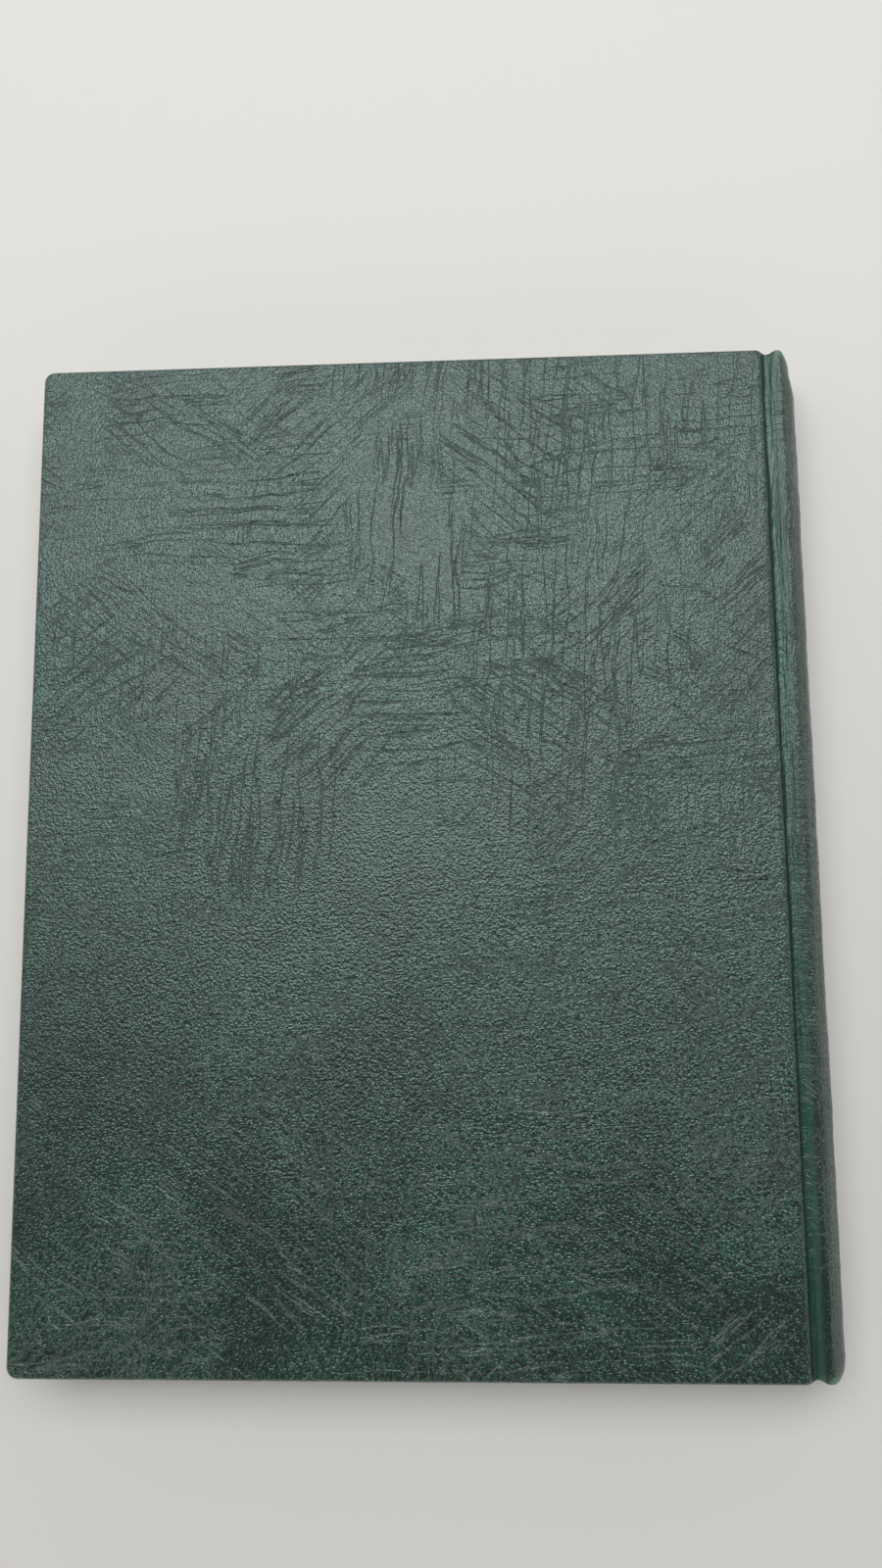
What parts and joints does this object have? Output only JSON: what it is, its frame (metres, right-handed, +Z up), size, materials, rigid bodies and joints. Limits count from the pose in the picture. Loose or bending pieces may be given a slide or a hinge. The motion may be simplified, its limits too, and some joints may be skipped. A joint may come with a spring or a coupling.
{
  "type": "pilot logbook",
  "caption": "Case-bound pilot logbook, closed; both covers hinge at the shoulders and fan the flyleaf and outer leaves.",
  "frame": {"origin": "middle of the closed book's underside, on the surface it lies on", "axes": "+X towards the spine, +Y towards the head, +Z up through the back cover"},
  "size_m": [0.2248, 0.286, 0.0215],
  "materials": {
    "leathercloth": "semi-gloss embossed leathercloth, dark green",
    "joint_cloth": "semi-gloss leathercloth worn smooth in the joint",
    "board": "matt grey board",
    "spine_card": "matt manila card",
    "endpaper": "matt uncoated endpaper",
    "ledger_paper": "matt ledger paper with ruled tables",
    "mull": "open-weave cotton, matt",
    "kraft": "matt kraft paper",
    "thread": "waxed linen thread",
    "band": "woven band, striped green and cream"
  },
  "bodies": {
    "text_block": {"section_01": "ledger_paper", "section_02": "ledger_paper", "section_03": "ledger_paper", "section_04": "ledger_paper", "section_05": "ledger_paper", "section_06": "ledger_paper", "section_07": "ledger_paper", "section_08": "ledger_paper", "section_09": "ledger_paper", "section_10": "ledger_paper", "section_11": "ledger_paper", "section_12": "ledger_paper", "sewing_thread": "thread", "spine_mull": "mull", "spine_lining": "kraft", "head_band": "band", "tail_band": "band", "spine_inlay": "spine_card", "spine_cloth": "leathercloth", "front_joint_cloth": "joint_cloth", "front_mull_hinge": "mull", "front_endpaper_fold": "endpaper", "back_joint_cloth": "joint_cloth", "back_mull_hinge": "mull", "back_endpaper_fold": "endpaper"},
    "front_cover": {"front_board": "board", "front_mull_wing": "mull", "front_cover_cloth": "leathercloth", "front_pastedown": "endpaper"},
    "front_flyleaf_sheet": {"front_flyleaf": "endpaper"},
    "front_leaf_1_sheet": {"front_leaf_1": "ledger_paper"},
    "front_leaf_2_sheet": {"front_leaf_2": "ledger_paper"},
    "front_leaf_3_sheet": {"front_leaf_3": "ledger_paper"},
    "front_leaf_4_sheet": {"front_leaf_4": "ledger_paper"},
    "front_leaf_5_sheet": {"front_leaf_5": "ledger_paper"},
    "front_leaf_6_sheet": {"front_leaf_6": "ledger_paper"},
    "back_cover": {"back_board": "board", "back_mull_wing": "mull", "back_cover_cloth": "leathercloth", "back_pastedown": "endpaper"},
    "back_flyleaf_sheet": {"back_flyleaf": "endpaper"},
    "back_leaf_1_sheet": {"back_leaf_1": "ledger_paper"},
    "back_leaf_2_sheet": {"back_leaf_2": "ledger_paper"},
    "back_leaf_3_sheet": {"back_leaf_3": "ledger_paper"},
    "back_leaf_4_sheet": {"back_leaf_4": "ledger_paper"},
    "back_leaf_5_sheet": {"back_leaf_5": "ledger_paper"},
    "back_leaf_6_sheet": {"back_leaf_6": "ledger_paper"}
  },
  "joints": [
    {"name": "front_cover_hinge", "type": "hinge", "parent": "text_block", "child": "front_cover", "pos_m": [0.10787, 0, 0.00339], "axis": [0, -1, 0], "range_deg": [0, 178], "deforming": ["front_joint_cloth", "front_mull_hinge", "front_endpaper_fold"]},
    {"name": "front_flyleaf_turn", "type": "hinge", "parent": "text_block", "child": "front_flyleaf_sheet", "pos_m": [0.10787, 0, 0.00339], "axis": [0, -1, 0], "range_deg": [0, 167.32]},
    {"name": "front_leaf_1_turn", "type": "hinge", "parent": "text_block", "child": "front_leaf_1_sheet", "pos_m": [0.10787, 0, 0.00339], "axis": [0, -1, 0], "range_deg": [0, 153.08]},
    {"name": "front_leaf_2_turn", "type": "hinge", "parent": "text_block", "child": "front_leaf_2_sheet", "pos_m": [0.10787, 0, 0.00339], "axis": [0, -1, 0], "range_deg": [0, 136.17]},
    {"name": "front_leaf_3_turn", "type": "hinge", "parent": "text_block", "child": "front_leaf_3_sheet", "pos_m": [0.10787, 0, 0.00339], "axis": [0, -1, 0], "range_deg": [0, 115.7]},
    {"name": "front_leaf_4_turn", "type": "hinge", "parent": "text_block", "child": "front_leaf_4_sheet", "pos_m": [0.10787, 0, 0.00339], "axis": [0, -1, 0], "range_deg": [0, 90.78]},
    {"name": "front_leaf_5_turn", "type": "hinge", "parent": "text_block", "child": "front_leaf_5_sheet", "pos_m": [0.10787, 0, 0.00339], "axis": [0, -1, 0], "range_deg": [0, 62.3]},
    {"name": "front_leaf_6_turn", "type": "hinge", "parent": "text_block", "child": "front_leaf_6_sheet", "pos_m": [0.10787, 0, 0.00339], "axis": [0, -1, 0], "range_deg": [0, 30.26]},
    {"name": "back_cover_hinge", "type": "hinge", "parent": "text_block", "child": "back_cover", "pos_m": [0.10787, 0, 0.01813], "axis": [0, 1, 0], "range_deg": [0, 178], "deforming": ["back_joint_cloth", "back_mull_hinge", "back_endpaper_fold"]},
    {"name": "back_flyleaf_turn", "type": "hinge", "parent": "text_block", "child": "back_flyleaf_sheet", "pos_m": [0.10787, 0, 0.01813], "axis": [0, 1, 0], "range_deg": [0, 167.32]},
    {"name": "back_leaf_1_turn", "type": "hinge", "parent": "text_block", "child": "back_leaf_1_sheet", "pos_m": [0.10787, 0, 0.01813], "axis": [0, 1, 0], "range_deg": [0, 153.08]},
    {"name": "back_leaf_2_turn", "type": "hinge", "parent": "text_block", "child": "back_leaf_2_sheet", "pos_m": [0.10787, 0, 0.01813], "axis": [0, 1, 0], "range_deg": [0, 136.17]},
    {"name": "back_leaf_3_turn", "type": "hinge", "parent": "text_block", "child": "back_leaf_3_sheet", "pos_m": [0.10787, 0, 0.01813], "axis": [0, 1, 0], "range_deg": [0, 115.7]},
    {"name": "back_leaf_4_turn", "type": "hinge", "parent": "text_block", "child": "back_leaf_4_sheet", "pos_m": [0.10787, 0, 0.01813], "axis": [0, 1, 0], "range_deg": [0, 90.78]},
    {"name": "back_leaf_5_turn", "type": "hinge", "parent": "text_block", "child": "back_leaf_5_sheet", "pos_m": [0.10787, 0, 0.01813], "axis": [0, 1, 0], "range_deg": [0, 62.3]},
    {"name": "back_leaf_6_turn", "type": "hinge", "parent": "text_block", "child": "back_leaf_6_sheet", "pos_m": [0.10787, 0, 0.01813], "axis": [0, 1, 0], "range_deg": [0, 30.26]}
  ],
  "couplings": [
    {"joint": "front_flyleaf_turn", "follows": "front_cover_hinge", "ratio": 0.94},
    {"joint": "front_leaf_1_turn", "follows": "front_cover_hinge", "ratio": 0.86},
    {"joint": "front_leaf_2_turn", "follows": "front_cover_hinge", "ratio": 0.765},
    {"joint": "front_leaf_3_turn", "follows": "front_cover_hinge", "ratio": 0.65},
    {"joint": "front_leaf_4_turn", "follows": "front_cover_hinge", "ratio": 0.51},
    {"joint": "front_leaf_5_turn", "follows": "front_cover_hinge", "ratio": 0.35},
    {"joint": "front_leaf_6_turn", "follows": "front_cover_hinge", "ratio": 0.17},
    {"joint": "back_flyleaf_turn", "follows": "back_cover_hinge", "ratio": 0.94},
    {"joint": "back_leaf_1_turn", "follows": "back_cover_hinge", "ratio": 0.86},
    {"joint": "back_leaf_2_turn", "follows": "back_cover_hinge", "ratio": 0.765},
    {"joint": "back_leaf_3_turn", "follows": "back_cover_hinge", "ratio": 0.65},
    {"joint": "back_leaf_4_turn", "follows": "back_cover_hinge", "ratio": 0.51},
    {"joint": "back_leaf_5_turn", "follows": "back_cover_hinge", "ratio": 0.35},
    {"joint": "back_leaf_6_turn", "follows": "back_cover_hinge", "ratio": 0.17}
  ]
}
